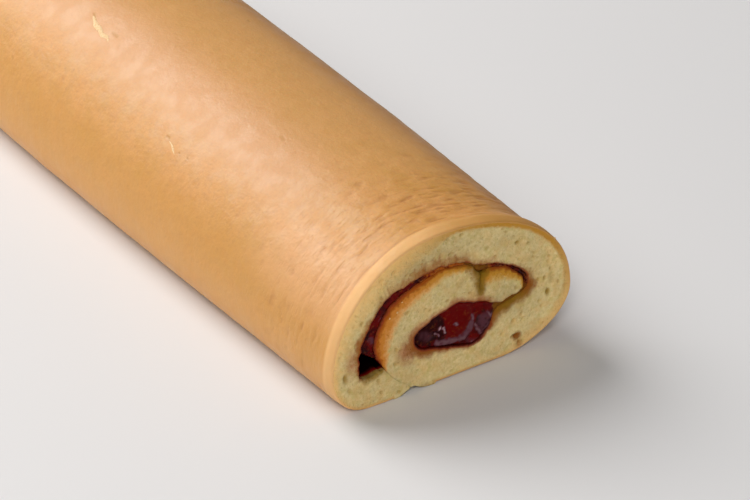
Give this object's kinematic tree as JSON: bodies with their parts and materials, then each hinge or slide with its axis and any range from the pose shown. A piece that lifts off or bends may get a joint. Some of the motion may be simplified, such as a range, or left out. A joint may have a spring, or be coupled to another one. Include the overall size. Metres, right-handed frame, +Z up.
{
  "type": "swiss roll cake",
  "caption": "Whole swiss roll: a thin browned sponge sheet rolled up with dark red jam, cut square at both ends and lying on its seam.",
  "frame": {"origin": "middle of the flat base that the roll lies on", "axes": "+Y along the roll, away from the cut end that the picture shows; +Z up; +X to the right seen from the -Y end"},
  "size_m": [0.0954, 0.28, 0.0578],
  "materials": {
    "sponge": "golden browned skin with a satin sheen; pale yellow open crumb at the cuts",
    "jam": "wet, glossy dark red"
  },
  "bodies": {
    "root": {"sponge": "sponge", "jam": "jam"}
  },
  "joints": []
}
